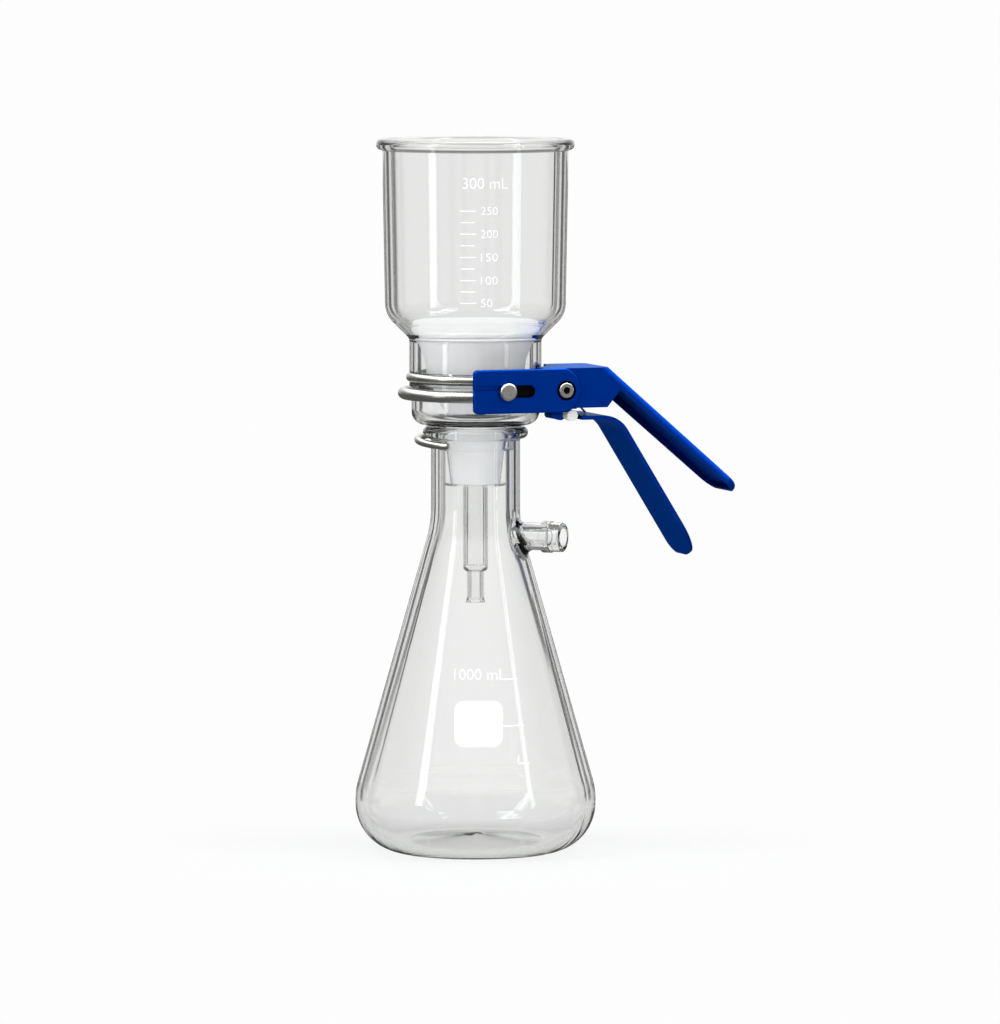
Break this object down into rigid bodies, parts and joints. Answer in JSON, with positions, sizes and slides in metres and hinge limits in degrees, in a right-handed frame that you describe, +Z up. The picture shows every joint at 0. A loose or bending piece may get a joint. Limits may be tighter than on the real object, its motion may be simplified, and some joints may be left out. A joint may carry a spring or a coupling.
{
  "type": "vacuum filtration unit",
  "caption": "Vacuum filtration unit: graduated glass funnel clamped over a glass support with a stem, stoppered into a conical filtering flask with a hose side arm.",
  "frame": {"origin": "centre of the flask's foot, on the table", "axes": "+Z up through the flask and funnel; +X along the clamp towards its handles; the clamp's slotted plate is on the -Y side, and its pivot is parallel to Y"},
  "size_m": [0.2093, 0.1348, 0.3995],
  "materials": {
    "clear_glass": "clear borosilicate glass, fire polished",
    "stopper_rubber": "translucent milky silicone",
    "white_plastic": "satin white",
    "disc_white": "fine matt white",
    "steel_wire": "satin stainless wire",
    "blue_aluminium": "blue anodised sheet",
    "bright_steel": "turned stainless",
    "dark_steel": "black oxide spring steel",
    "spring_steel": "drawn wire",
    "pin_nylon": "natural nylon"
  },
  "bodies": {
    "unit": {"flask": "clear_glass", "stopper": "stopper_rubber", "stem_bushing": "white_plastic", "support_base": "clear_glass", "filter_support": "white_plastic", "filter_disc": "disc_white", "funnel": "clear_glass", "neck_clip": "steel_wire", "upper_ring": "steel_wire", "jaw_plate": "blue_aluminium", "upper_lever": "blue_aluminium", "pivot_screw": "bright_steel", "pivot_washer": "bright_steel", "pivot_nut": "bright_steel", "torsion_spring": "spring_steel"},
    "lower_jaw": {"lower_lever": "blue_aluminium", "lower_ring": "steel_wire", "stop_pin": "pin_nylon", "pivot_sleeve": "bright_steel"},
    "stud": {"lock_stud": "bright_steel", "stud_retainer": "dark_steel"}
  },
  "joints": [
    {"name": "jaw_hinge", "type": "hinge", "parent": "unit", "child": "lower_jaw", "pos_m": [0.0371, -0.0322, 0.26095], "axis": [0, -1, 0], "range_deg": [0, 6], "stiffness_Nm_per_rad": 0.6, "springref_deg": -20.05, "deforming": ["torsion_spring"]},
    {"name": "stud_slide", "type": "slide", "parent": "unit", "child": "stud", "axis": [1, 0, 0], "range_m": [0, 0.0129]}
  ]
}
